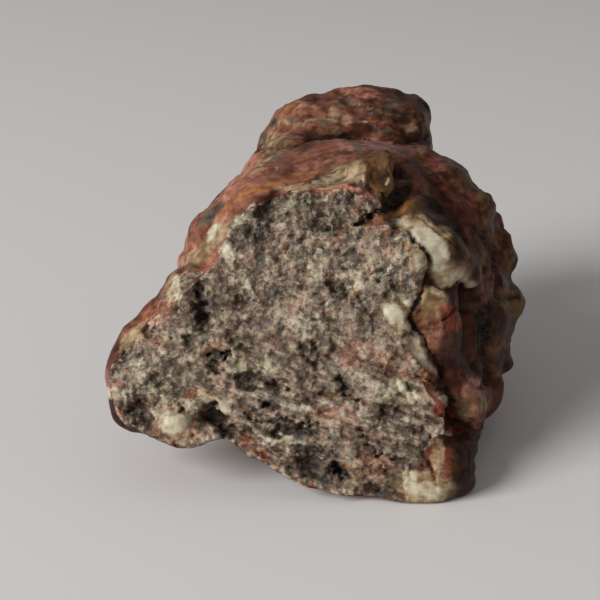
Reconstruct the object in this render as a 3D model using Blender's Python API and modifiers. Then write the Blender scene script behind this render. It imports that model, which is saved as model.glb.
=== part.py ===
"""Quartz flower stone: a water-worn lump of red jasper and cream quartz with a rough broken face.

The stone is shaped in the frame of its broken face: x runs across the face, y into the stone and z up the
face, with the origin in the plane of the face. It is then leaned back and set down on its worn underside.
Tables give the stone's forms in millimetres, and everything else is in metres.
"""

import math

import bmesh
import bpy
from mathutils import Matrix, Vector, noise

MM = 0.001

# How the stone lies: the broken face leans back, and the bed cuts a worn facet this far below the origin.
FACE_LEAN = math.radians(20.0)
BED_DROP = 32.3 * MM
BED_SIZE = 0.3

# Grain and softening of the skin that fuses the masses, and the share of its faces that is kept.
SKIN_GRAIN = 0.85 * MM
SKIN_SOFTENING = 4
FACES_KEPT = 0.12

# The slab behind the broken face: its rim, across and up, clockwise from the tip of the left lobe.
FACE_RIM = [
    (-33.0, -12.5), (-31.8, -9.8), (-29.0, -8.4), (-26.5, -5.6), (-24.3, -3.0), (-21.3, -0.3),
    (-20.0, 2.0), (-18.2, 3.4), (-16.0, 5.4), (-14.2, 7.7), (-13.2, 11.0), (-12.2, 13.5),
    (-10.0, 15.2), (-7.0, 17.2), (-3.6, 18.0), (-1.0, 19.1), (3.8, 19.4), (8.5, 19.3),
    (11.5, 18.6), (13.9, 17.0), (14.8, 13.6), (19.0, 9.5), (21.4, 4.6), (20.6, 1.2),
    (19.4, -2.0), (17.6, -5.0), (17.8, -8.3), (19.8, -11.2), (22.5, -13.3), (24.3, -16.5),
    (25.0, -19.2), (24.5, -22.7), (24.5, -29.0), (25.6, -32.6), (23.0, -34.8), (19.8, -34.8),
    (16.4, -34.2), (7.0, -33.4), (1.2, -31.9), (-5.6, -28.5), (-10.0, -25.4), (-12.2, -23.6),
    (-15.8, -24.6), (-20.2, -25.3), (-24.8, -23.8), (-29.0, -21.4), (-32.2, -17.6),
]
RIM_DEPTH = 13.0 * MM
RIM_TAPER = 0.84
RIM_CENTRE = Vector((0.0, 0.0, -6.0)) * MM

# The masses of the stone: centre (across, in, up), radii (across, in, up), turn in degrees on the face.
MASSES = {
    "heart": ((5, 34, -4), (26, 30.5, 21), 0),
    "keel": ((6, 47, -6), (17, 18, 15), 0),
    "sole": ((7, 20, -16), (16, 19, 13.5), 0),
    "brow": ((2, 16, 4), (17, 15, 15.5), 10),
    "left skin": ((-21.8, 6.8, -6.4), (15.5, 6.5, 8.6), 49),
    "left wing": ((-13, 17, -9), (16, 17, 12.5), 20),
    "left foot": ((-21, 7.5, -17.2), (12.6, 7.5, 7.6), -4),
    "left flank": ((-9.5, 22, 10.5), (17, 18, 9.5), 56),
    "top ridge": ((8.4, 31, 18.2), (20, 22, 11.5), 2),
    "saddle": ((-1, 43, 21), (12, 14, 11), 20),
    "nape": ((7, 47, 18), (16, 18, 13), 0),
    "crown left": ((3.6, 56, 30.2), (13.0, 15, 11.2), 24),
    "crown middle": ((10.0, 57, 34.0), (9.0, 11, 8.4), 8),
    "crown right": ((15.8, 57, 31.5), (11.5, 14, 11.6), 0),
    "crown corner": ((22.0, 60, 37.2), (5.2, 8, 4.8), 0),
    "tail": ((7, 58, 12), (20, 13, 18), 12),
    "back left": ((-7, 57, 4), (9, 10, 9.5), 0),
    "back right": ((23, 57, 6), (9, 9, 10.5), 0),
    "back low": ((8, 64, 2), (10, 8, 9), 0),
    "back high": ((14, 66, 21), (10, 8, 9), 0),
    "dark shoulder": ((22.4, 29, 13.0), (14.4, 16, 13.4), -40),
    "shoulder top": ((20.8, 32, 21.2), (8.8, 12, 8.2), -20),
    "right flank": ((27.5, 32, -3), (12, 18, 18), 0),
    "bulge high": ((36.6, 34, 12.5), (3.4, 5, 3.8), -20),
    "bulge middle": ((37.2, 34, 7.6), (4.0, 6, 4.0), 0),
    "bulge broad": ((38.2, 35, -0.8), (4.6, 6, 4.6), 0),
    "bulge low": ((36.4, 32, -8.0), (4.4, 7, 6.0), 20),
    "bulge foot": ((32.2, 25, -16.4), (4.8, 8, 6.2), 10),
    "ledge": ((12.8, 5.5, 19.8), (5.4, 7.5, 4.4), 22),
    "ledge root": ((6.0, 11, 15.5), (12, 11, 6.6), 6),
    "ledge back": ((16, 17, 17.5), (8, 9, 7.5), -10),
    "cream shoulder": ((21.5, 9.5, 9.4), (9.5, 9, 6.0), -42),
    "mottled knot": ((28.0, 14, 6.4), (4.0, 6, 4.6), 20),
    "tan lobe": ((23.2, 8, -5.2), (4.9, 8.5, 7.2), 12),
    "tan brow": ((23.0, 6.5, -0.2), (4.6, 6.5, 3.6), 10),
    "tan bed": ((19.5, 9, -6.5), (6, 7.5, 10), 0),
    "rose lobe": ((28.4, 14, -17.6), (4.8, 9, 6.2), 14),
    "rose bed": ((24.5, 12, -14.5), (6, 8, 7), 0),
    "corner": ((25.2, 9, -28.2), (5.6, 11, 6.6), 8),
    "corner foot": ((23.5, 6, -31.0), (5.2, 7, 3.6), 10),
}

# The cleft between the ledge and the cream shoulder: its outline on the face, and how it closes inwards.
CLEFT = [
    (8.5, 12.0), (12.2, 13.9), (14.3, 16.1), (15.2, 18.4), (17.0, 21.5), (21.0, 21.2),
    (21.8, 17.8), (19.0, 16.6), (16.3, 15.4), (14.0, 13.9), (11.0, 12.0),
]
CLEFT_FRONT = -4.0 * MM
CLEFT_DEPTH = 13.0 * MM
CLEFT_CLOSING = 0.62
CLEFT_ROOT = Vector((18.2, 0.0, 18.4)) * MM

# Knots of hard cream quartz that stand on the face: across, up, radius, height.
FACE_KNOTS = [
    (20.0, -10.6, 3.0, 1.5), (17.4, -6.9, 2.0, 1.2), (22.6, -13.6, 1.8, 0.9), (22.5, -18.0, 2.0, 0.9),
    (21.0, -29.5, 3.5, 0.8), (17.0, 7.5, 2.2, 0.7), (9.5, 17.0, 2.6, 0.8), (-1.0, 15.5, 2.4, 0.6),
    (2.5, -4.0, 4.5, 0.6), (-11.0, 6.0, 3.0, 0.5), (-20.8, -20.8, 3.2, 1.4), (-15.5, -16.6, 1.8, 0.8),
]

# Holes and hollows in the face: across, up, radius, depth.
FACE_HOLES = [
    (-14.9, -9.2, 1.1, 3.2), (-13.1, -9.5, 1.3, 3.6), (-17.2, 1.3, 1.9, 2.2), (-16.2, -3.4, 2.4, 2.2),
    (-6.3, 15.6, 1.4, 1.6), (-10.6, 10.2, 1.7, 1.1), (-9.0, 0.5, 2.2, 0.8), (12.0, -1.5, 2.2, 0.8),
    (5.8, -9.8, 1.7, 1.3), (8.5, -20.0, 2.6, 0.8), (-6.0, -20.5, 3.2, 1.0), (5.8, -29.2, 1.8, 2.6),
    (1.4, -27.2, 2.2, 1.8), (-3.2, -25.0, 1.8, 1.5), (-14.3, -19.6, 2.9, 2.6), (-26.2, -19.4, 2.2, 2.0),
    (-25.5, -5.4, 1.5, 1.2), (-28.6, -10.1, 1.6, 1.0),
]
KNOT_FALL = 1.6

# The relief of the break fades out at this depth behind the face.
BREAK_DEPTH = 3.5 * MM
BREAK_GRAIN = 3.4 * MM
BREAK_HEIGHT = 0.5 * MM

# The beads of the worn skin, large and small, with creases between them, and its soft ripple.
BEAD_SIZE = 9.0 * MM
BEAD_HEIGHT = 1.25 * MM
GRAPE_SIZE = 5.0 * MM
GRAPE_HEIGHT = 0.5 * MM
BEAD_LEVEL = 0.6
PATCH_SIZE = 16.0 * MM
RIPPLE_SIZE = 4.5 * MM
RIPPLE_HEIGHT = 0.3 * MM
WARP_SIZE = 9.0 * MM
WARP_REACH = 2.0 * MM
WARP_SHIFTS = (Vector((0, 0, 0)), Vector((31.7, 4.1, 9.3)), Vector((7.9, 53.3, 17.1)))

# The flow lines that take the place of beads on top, in front of the knob.
FLOW_SPACING = 4.2 * MM
FLOW_HEIGHT = 0.5 * MM
FLOW_BREAK = 7.0 * MM


def smooth_step(low, high, value):
    share = min(1.0, max(0.0, (value - low) / (high - low)))
    return share * share * (3.0 - 2.0 * share)


def mass_matrix(centre, radii, turn):
    """The place, turn and size of one mass, as the matrix that makes it from a ball of radius 1."""
    place = Matrix.Translation(Vector(centre) * MM)
    size = Matrix.Diagonal((*(Vector(radii) * MM), 1))
    return place @ Matrix.Rotation(-math.radians(turn), 4, "Y") @ size


def outline_block(name, outline, front, back, taper, centre):
    """A closed block between two depths, whose back outline is drawn in towards a centre."""
    mesh = bmesh.new()
    rim = mesh.faces.new([mesh.verts.new((across * MM, front, up * MM)) for across, up in outline])
    made = bmesh.ops.extrude_face_region(mesh, geom=[rim])["geom"]
    for vert in [item for item in made if isinstance(item, bmesh.types.BMVert)]:
        vert.co = centre + (vert.co - centre) * taper
        vert.co.y = back
    bmesh.ops.triangulate(mesh, faces=mesh.faces)
    bmesh.ops.recalc_face_normals(mesh, faces=mesh.faces)
    block = bpy.data.meshes.new(name)
    mesh.to_mesh(block)
    mesh.free()
    return block


def overlapping_masses():
    """The slab behind the broken face and the masses that overlap it, as one mesh of closed shells."""
    mesh = bmesh.new()
    mesh.from_mesh(outline_block("slab", FACE_RIM, 0.0, RIM_DEPTH, RIM_TAPER, RIM_CENTRE))
    for centre, radii, turn in MASSES.values():
        bmesh.ops.create_icosphere(mesh, subdivisions=4, radius=1, matrix=mass_matrix(centre, radii, turn))
    masses = bpy.data.meshes.new("masses")
    mesh.to_mesh(masses)
    mesh.free()
    return masses


def knot_rise(point, across, up, radius):
    """How much of a knot's height, or of a hole's depth, is left at a point of the face."""
    reach = math.hypot(point.x / MM - across, point.z / MM - up) / radius
    return math.exp(-KNOT_FALL * reach * reach)


def face_relief(point):
    """How far the break stands out at a point of the face."""
    height = BREAK_HEIGHT * noise.noise(point / BREAK_GRAIN)
    for across, up, radius, rise in FACE_KNOTS:
        height += rise * MM * knot_rise(point, across, up, radius)
    for across, up, radius, depth in FACE_HOLES:
        height -= depth * MM * knot_rise(point, across, up, radius)
    return height


def bead_relief(point, size, crease):
    """Rounded beads of one size, from -BEAD_LEVEL in the creases to 1 - BEAD_LEVEL on the domes."""
    near, far = noise.voronoi(point / size)[0][:2]
    return smooth_step(0.0, crease, far - near) - BEAD_LEVEL


def skin_relief(point):
    """How far the worn skin stands out: beads of two sizes, with flow lines in their place on top."""
    warp = Vector([WARP_REACH * noise.noise(point / WARP_SIZE + shift) for shift in WARP_SHIFTS])
    beads = BEAD_HEIGHT * bead_relief(point + warp, BEAD_SIZE, 0.6)
    beads += GRAPE_HEIGHT * bead_relief(point + warp, GRAPE_SIZE, 0.5)
    beads *= 0.55 + 0.45 * noise.noise(point / PATCH_SIZE)
    across_flow = point.y * 0.85 - point.x * 0.3 + warp.z
    flow = FLOW_HEIGHT * noise.noise(point / FLOW_BREAK) * math.sin(math.tau * across_flow / FLOW_SPACING)
    top = smooth_step(13.0 * MM, 19.0 * MM, point.z)
    top *= 1.0 - smooth_step(24.0 * MM, 36.0 * MM, point.y)
    top *= 1.0 - smooth_step(14.0 * MM, 20.0 * MM, point.x)
    return (1.0 - top) * beads + top * flow + RIPPLE_HEIGHT * noise.noise(point / RIPPLE_SIZE)


def raise_relief(mesh):
    """Move the fused skin out and in along its normals."""
    normals = [vert.normal.copy() for vert in mesh.vertices]
    for vert, normal in zip(mesh.vertices, normals):
        face = smooth_step(0.55, 0.9, -normal.y) * (1.0 - smooth_step(0.0, BREAK_DEPTH, vert.co.y))
        vert.co += normal * (face * face_relief(vert.co) + (1.0 - face) * skin_relief(vert.co))


def with_modifiers_applied(thing):
    graph = bpy.context.evaluated_depsgraph_get()
    return bpy.data.meshes.new_from_object(thing.evaluated_get(graph))


def bed_block():
    """A large box whose top is the plane that the stone rests on."""
    mesh = bmesh.new()
    bmesh.ops.create_cube(mesh, size=BED_SIZE, matrix=Matrix.Translation((0, 0, -BED_SIZE / 2)))
    block = bpy.data.meshes.new("bed")
    mesh.to_mesh(block)
    mesh.free()
    return block


def cut_away(stone, cutter):
    cut = stone.modifiers.new("cut by " + cutter.name, "BOOLEAN")
    cut.operation = "DIFFERENCE"
    cut.solver = "EXACT"
    cut.object = cutter


def middle_of(mesh):
    """The middle of a mesh's footprint."""
    across = [vert.co.x for vert in mesh.vertices]
    along = [vert.co.y for vert in mesh.vertices]
    return Vector(((min(across) + max(across)) / 2, (min(along) + max(along)) / 2, 0.0))


def stone_material():
    jasper = bpy.data.materials.new("jasper and quartz")
    jasper.use_nodes = True
    shader = jasper.node_tree.nodes["Principled BSDF"]
    shader.inputs["Base Color"].default_value = (0.14, 0.075, 0.05, 1.0)
    shader.inputs["Roughness"].default_value = 0.45
    shader.inputs["Metallic"].default_value = 0.0
    return jasper


def build():
    for thing in list(bpy.data.objects):
        bpy.data.objects.remove(thing)
    part = bpy.data.collections.new("flower_stone")
    cutters = bpy.data.collections.new("cutters")
    bpy.context.scene.collection.children.link(part)
    bpy.context.scene.collection.children.link(cutters)

    # The masses grow into one skin, which takes its relief and then keeps only the faces that it needs.
    stone = bpy.data.objects.new("stone", overlapping_masses())
    part.objects.link(stone)
    fuse = stone.modifiers.new("fuse", "REMESH")
    fuse.mode = "VOXEL"
    fuse.voxel_size = SKIN_GRAIN
    soften = stone.modifiers.new("soften", "SMOOTH")
    soften.iterations = SKIN_SOFTENING
    stone.data = with_modifiers_applied(stone)
    stone.modifiers.clear()
    raise_relief(stone.data)
    thin = stone.modifiers.new("thin", "DECIMATE")
    thin.ratio = FACES_KEPT
    stone.data = with_modifiers_applied(stone)
    stone.modifiers.clear()
    stone.data.shade_smooth()
    stone.data.materials.clear()
    stone.data.materials.append(stone_material())

    # The stone leans back with its cleft, and the bed cuts the facet that it rests on.
    cleft_mesh = outline_block("cleft", CLEFT, CLEFT_FRONT, CLEFT_DEPTH, CLEFT_CLOSING, CLEFT_ROOT)
    cleft = bpy.data.objects.new("cleft", cleft_mesh)
    bed = bpy.data.objects.new("bed", bed_block())
    lean = Matrix.Translation((0, 0, BED_DROP)) @ Matrix.Rotation(-FACE_LEAN, 4, "X")
    stone.data.transform(lean)
    cleft.data.transform(lean)
    for cutter in (cleft, bed):
        cutters.objects.link(cutter)
        cutter.hide_render = True
        cutter.display_type = "WIRE"
        cut_away(stone, cutter)

    # The origin goes to the middle of the footprint.
    to_middle = Matrix.Translation(-middle_of(with_modifiers_applied(stone)))
    for thing in (stone, cleft, bed):
        thing.data.transform(to_middle)


build()
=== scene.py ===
"""Quartz flower stone, dressed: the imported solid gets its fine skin, its broken grain and its colours."""

import math

import bmesh
import bpy
import numpy as np
from mathutils import Matrix, Vector, noise


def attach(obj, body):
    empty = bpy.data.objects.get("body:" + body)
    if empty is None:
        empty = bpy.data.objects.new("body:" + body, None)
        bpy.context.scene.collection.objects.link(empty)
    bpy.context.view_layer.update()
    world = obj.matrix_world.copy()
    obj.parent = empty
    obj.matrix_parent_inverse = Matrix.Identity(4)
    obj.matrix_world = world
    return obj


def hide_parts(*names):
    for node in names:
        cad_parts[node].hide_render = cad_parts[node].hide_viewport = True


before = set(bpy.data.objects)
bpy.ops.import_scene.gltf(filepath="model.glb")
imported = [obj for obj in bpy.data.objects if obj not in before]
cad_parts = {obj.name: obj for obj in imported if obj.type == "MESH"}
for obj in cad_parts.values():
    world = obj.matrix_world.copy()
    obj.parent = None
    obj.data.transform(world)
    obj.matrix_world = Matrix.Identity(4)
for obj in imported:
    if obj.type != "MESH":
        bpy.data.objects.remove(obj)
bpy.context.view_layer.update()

# ----------------------------------------
# The stone: one lump of red jasper and cream quartz, worn smooth by water on the outside and broken across
# the front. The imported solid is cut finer, then weathered: grains and holes on the break, beads on the skin.
# ----------------------------------------

MM = 0.001
FACE_LEAN = math.radians(20.0)
FACE_ORIGIN = Vector((-4.443, -33.077, 32.3)) * MM
EYE_DISTANCE = 280.0

face_to_world = Matrix.Translation(FACE_ORIGIN) @ Matrix.Rotation(-FACE_LEAN, 4, "X")
world_to_face = face_to_world.inverted()

SKIN_GRAIN = 0.63 * MM
SOFTENING_PASSES = 3
WELD_GAP = 0.001 * MM
BREAK_DEPTH = 4.5 * MM
BREAK_TURN = -0.35


def placed(name, data):
    """A new object in the scene."""
    thing = bpy.data.objects.new(name, data)
    bpy.context.scene.collection.objects.link(thing)
    return thing


def drop_crumbs(mesh):
    """Delete the small closed shells that even cutting leaves in a fold, and keep the largest."""
    left = set(mesh.verts)
    shells = []
    while left:
        growing = [left.pop()]
        shell = set(growing)
        while growing:
            spot = growing.pop()
            beside = {edge.other_vert(spot) for edge in spot.link_edges} & left
            left -= beside
            shell |= beside
            growing.extend(beside)
        shells.append(shell)
    shells.sort(key=len)
    for shell in shells[:-1]:
        bmesh.ops.delete(mesh, geom=list(shell), context="VERTS")


def fine_skin(node):
    """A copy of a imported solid's mesh, cut into small even faces, and finer still on the break."""
    mesh = bmesh.new()
    mesh.from_mesh(node.data)
    bmesh.ops.remove_doubles(mesh, verts=mesh.verts, dist=WELD_GAP)
    welded = bpy.data.meshes.new("stone_skin")
    mesh.to_mesh(welded)
    mesh.free()
    skin = placed("stone_skin", welded)
    rounded = skin.modifiers.new("rounded", "SUBSURF")
    rounded.levels = rounded.render_levels = 2
    even = skin.modifiers.new("even", "REMESH")
    even.mode = "VOXEL"
    even.voxel_size = SKIN_GRAIN
    soft = skin.modifiers.new("soft", "SMOOTH")
    soft.iterations = SOFTENING_PASSES
    graph = bpy.context.evaluated_depsgraph_get()
    skin.data = bpy.data.meshes.new_from_object(skin.evaluated_get(graph))
    skin.modifiers.clear()
    mesh = bmesh.new()
    mesh.from_mesh(skin.data)
    drop_crumbs(mesh)
    to_face = world_to_face.to_3x3()
    on_break = []
    for face in mesh.faces:
        middle = world_to_face @ face.calc_center_median()
        if middle.y < BREAK_DEPTH and (to_face @ face.normal).y < BREAK_TURN:
            on_break.append(face)
    edges = list({edge for face in on_break for edge in face.edges})
    bmesh.ops.subdivide_edges(mesh, edges=edges, cuts=1, use_grid_fill=True)
    mesh.to_mesh(skin.data)
    mesh.free()
    return skin


stone = fine_skin(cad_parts["stone"])

# Every point of the skin in millimetres in the break's own frame: across it, into the stone, and up it.
# Marks are laid out as they are seen square to the break, so a point's sight is where it shows there.

point_count = len(stone.data.vertices)


def each_point(measure):
    """The place or the normal of every point of the skin, one row each."""
    values = np.empty(point_count * 3)
    stone.data.vertices.foreach_get(measure, values)
    return values.reshape(-1, 3)


points = each_point("co")
turn = np.array(world_to_face.to_3x3())
place = (points - np.array(FACE_ORIGIN)) @ turn.T / MM
outward = each_point("normal") @ turn.T
height = points[:, 2] / MM
shrink = (EYE_DISTANCE + place[:, 1]) / EYE_DISTANCE
from_eye = place + np.array((0.0, EYE_DISTANCE, 0.0))
facing = -np.sum(from_eye * outward, axis=1) / np.linalg.norm(from_eye, axis=1)
spots = [Vector(spot) for spot in place]


def ramp(low, high, values):
    """0 below low and 1 above high, eased between them; with low above high it falls instead."""
    share = np.clip((values - low) / (high - low), 0.0, 1.0)
    return share * share * (3.0 - 2.0 * share)


def elsewhere(seed):
    """A step to another part of the noise for each seed, so that no two layers are alike."""
    return Vector((seed * 7.3, seed * 3.1, seed * 5.7))


def clouds(size, seed, drawn=1.0):
    """Soft noise about size millimetres across, from -1 to 1; it can be drawn out into the stone's depth."""
    shift = elsewhere(seed)
    shape = Vector((1.0, 1.0 / drawn, 1.0)) / size
    return np.array([noise.noise(spot * shape + shift) for spot in spots])


def crumbs(size, seed):
    """Cells about size millimetres across: how far each point is from its cell's edge, 0 to about 1."""
    shift = elsewhere(seed)
    gaps = [noise.voronoi(spot / size + shift)[0] for spot in spots]
    return np.array([gap[1] - gap[0] for gap in gaps])


drift = [clouds(3.0, 1), clouds(3.0, 2)]
jitter = [clouds(0.9, 3), clouds(0.9, 4)]
sight_across = place[:, 0] / shrink + 0.6 * drift[0] + 0.25 * jitter[0]
sight_up = place[:, 2] / shrink + 0.6 * drift[1] + 0.25 * jitter[1]
seen = ramp(-0.12, 0.10, facing)


def patch(across, up, along, athwart, tilt=0.0, strength=1.0):
    """An oval mark, 1 in its middle and 0 outside, its length turned by tilt degrees."""
    lean = math.radians(tilt)
    right, rise = sight_across - across, sight_up - up
    down_length = (right * math.cos(lean) + rise * math.sin(lean)) / along
    over_width = (rise * math.cos(lean) - right * math.sin(lean)) / athwart
    return strength * ramp(1.45, 0.55, np.hypot(down_length, over_width))


# Behind the ledge the hollow shoals towards the right instead of falling straight to its floor.

shoal = 8.0 + 0.6 * (sight_across - 15.0)
filling = np.maximum(place[:, 1] - shoal, 0.0) * patch(17.2, 17.4, 3.0, 2.8) * ramp(16.0, 13.6, place[:, 1])
seen = np.maximum(seen, ramp(0.1, 0.8, filling))


def strongest(*layers):
    """The highest of several values at each point."""
    return np.maximum.reduce(layers)


def patches(marks):
    """The strongest of several named oval marks at each point."""
    return strongest(*(patch(*mark) for mark in marks.values())) * seen


def distance_to(route):
    """How far each point's sight is from a line through the route's points."""
    nearest = np.full(point_count, 1e9)
    for (start_x, start_y), (end_x, end_y) in zip(route, route[1:]):
        run_x, run_y = end_x - start_x, end_y - start_y
        right, rise = sight_across - start_x, sight_up - start_y
        share = np.clip((right * run_x + rise * run_y) / (run_x ** 2 + run_y ** 2), 0.0, 1.0)
        nearest = np.minimum(nearest, np.hypot(right - share * run_x, rise - share * run_y))
    return nearest


def stripes(lines):
    """The strongest of several named lines, each a width and then its points."""
    covers = [ramp(1.4 * width, 0.4 * width, distance_to(route)) for width, *route in lines.values()]
    return strongest(*covers) * seen


# The break's rim, clockwise from the left. Below it runs on past the stone's lower edge.

BREAK_RIM = [
    (-34, -13), (-32, -10), (-29.6, -8.6), (-26.7, -5.2), (-23.7, -0.9), (-21.4, 2.2), (-19.4, 4.8),
    (-17.8, 7.2), (-16.2, 9.4), (-14.4, 11.8), (-12.5, 13.4), (-10, 14.6), (-7.2, 16.8),
    (-3.7, 17.8), (-1, 18.4), (3.8, 18.7), (8.5, 18.4), (11.3, 17.9), (13.4, 16.6), (13.8, 15.2),
    (12.2, 13.7), (8.7, 12.5), (11, 12.6), (15.2, 12.6), (17.8, 11.6), (19.4, 9.9), (20.4, 8.3),
    (21.7, 6.2), (21.1, 3.3), (20.2, 2.2), (19.9, 0.2), (18.9, -1.9), (18.8, -4.5), (20.1, -6.6),
    (22, -9.9), (23.2, -12.2), (20.4, -13), (21, -15.4), (22.4, -17.2), (23.8, -19.4), (24.2, -21.8),
    (22.2, -23), (20.8, -25.7), (18.4, -28.2), (17.6, -31.5), (17.5, -36), (-8, -32), (-14, -27),
    (-26, -27), (-34, -22), (-36, -14),
]


def inside(outline):
    """How deep each point's sight lies inside a closed outline; negative outside it."""
    closed = outline + outline[:1]
    within = np.zeros(point_count, dtype=bool)
    for (start_x, start_y), (end_x, end_y) in zip(closed, closed[1:]):
        crosses = (start_y > sight_up) != (end_y > sight_up)
        reach = (end_x - start_x) * (sight_up - start_y) / ((end_y - start_y) or 1e-9) + start_x
        within ^= crosses & (sight_across < reach)
    depth = distance_to(closed)
    return np.where(within, depth, -depth)


# Knots of hard cream quartz that stayed smooth where the rest broke, in millimetres and degrees: across, up,
# half length, half width and tilt.

SMOOTH_KNOTS = {
    "nugget": (15.8, -2.6, 2, 1.9, -40),
    "nugget foot": (17.4, -4.5, 1.4, 1.5),
    "ridge": (19.3, -8.8, 3.6, 1.9, -52),
    "ridge foot": (21.4, -11.4, 1.7, 1.6, -45),
    "below ridge": (17, -14.4, 1.2, 0.8, -40),
    "below ridge foot": (18.3, -16.2, 1.2, 0.7, -70),
    "rim knot": (19.6, 6.6, 1.3, 1.9, -20),
    "lobe arch": (-12.6, -17.4, 1.9, 0.8, -52),
    "lower lobe": (-20.8, -20.8, 2.8, 2),
}

knotted = patches(SMOOTH_KNOTS)
into_break = inside(BREAK_RIM)
broken = ramp(-0.25, 0.35, into_break) * ramp(0.25, 0.5, facing) * ramp(5.0, 3.6, place[:, 1])
broken *= 1.0 - 0.85 * knotted
sight_across += broken * (0.8 * clouds(1.7, 24) + 0.5 * jitter[0])
sight_up += broken * (0.8 * clouds(1.7, 25) + 0.5 * jitter[1])

# Holes and hollows on the break: across, up, half length, half width, tilt in degrees, and depth.

HOLES = {
    "left twin": (-15.2, -9, 0.4, 0.45, 0, 1.3),
    "right twin": (-12.4, -9.4, 0.45, 0.6, 0, 1.5),
    "below twins": (-14, -11.4, 1.3, 0.9, 30, 0.9),
    "long slot top": (-16.8, 2.2, 0.8, 1.7, 5, 1.2),
    "long slot": (-16.6, -2.4, 1.4, 1.9, 0, 2.1),
    "slot foot": (-17.9, -6.8, 1.3, 1.4, 0, 1.2),
    "left nick": (-25.3, -5.3, 1.6, 0.7, 0, 1.1),
    "far left nick": (-30.2, -9.3, 2.2, 0.7, 5, 0.8),
    "left dimple": (-24.7, -13.8, 1.3, 1, 0, 0.7),
    "upper pit": (-5.5, 14.8, 1.5, 1.6, 0, 2),
    "upper left hollow": (-8.3, 10.4, 2.4, 1.5, 0, 0.7),
    "upper mid hollow": (1.7, 16.7, 1.8, 1.3, 0, 0.8),
    "upper right hollow": (7.7, 17, 1.7, 1.1, 0, 0.8),
    "under cleft": (4.4, 12.4, 2.6, 1.4, 0, 0.8),
    "middle pit": (5.4, 2.2, 1.2, 1.1, 0, 1.2),
    "middle pit tail": (7.4, 1.3, 1.2, 0.7, -40, 0.9),
    "left of middle": (-9, 0, 1.4, 1.2, 0, 0.9),
    "centre pit": (1.2, -8.2, 0.9, 1.4, 15, 1.7),
    "centre pit tail": (2.6, -10.2, 0.8, 1.3, 20, 1.1),
    "low left furrow": (-8.4, -13, 2.3, 1.1, 0, 1.1),
    "low furrow end": (-3.6, -14.5, 1.4, 0.8, 0, 1),
    "black eye": (-5.6, -17.3, 0.8, 0.7, 0, 2),
    "eye socket": (-4.9, -17.6, 1.5, 1.1, 0, 0.7),
    "low right hollow": (15.4, -18.6, 1.6, 1.1, -15, 1),
    "long furrow": (-2, -21.9, 3.4, 0.9, 12, 1.4),
    "furrow end": (3, -22.1, 1.4, 0.9, 0, 0.8),
    "bottom hollow": (2.4, -26.9, 2.4, 1.7, 0, 1),
    "bottom nick": (-1.9, -27.4, 1.3, 0.7, -10, 1.2),
    "bottom hole": (6.7, -28.9, 1.6, 0.8, -42, 2.6),
    "bottom shade": (0.8, -25, 1.8, 1, -10, 0.8),
    "bottom slit": (12.5, -31.4, 2.2, 0.6, -12, 0.8),
    "lobe hollow": (-14.2, -19.3, 2.4, 1.6, -35, 2),
    "lobe hollow foot": (-12.1, -21.6, 1.4, 1.2, -30, 1.8),
    "lobe left hollow": (-26.6, -18.3, 1.9, 1.5, -20, 1.5),
    "lobe left foot": (-25, -20.2, 0.9, 1.1, 0, 1.2),
    "lobe crown": (-20.3, -18.5, 1, 0.7, 0, 0.8),
}

# Cracks: width and depth in millimetres, then the way they run.

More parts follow.
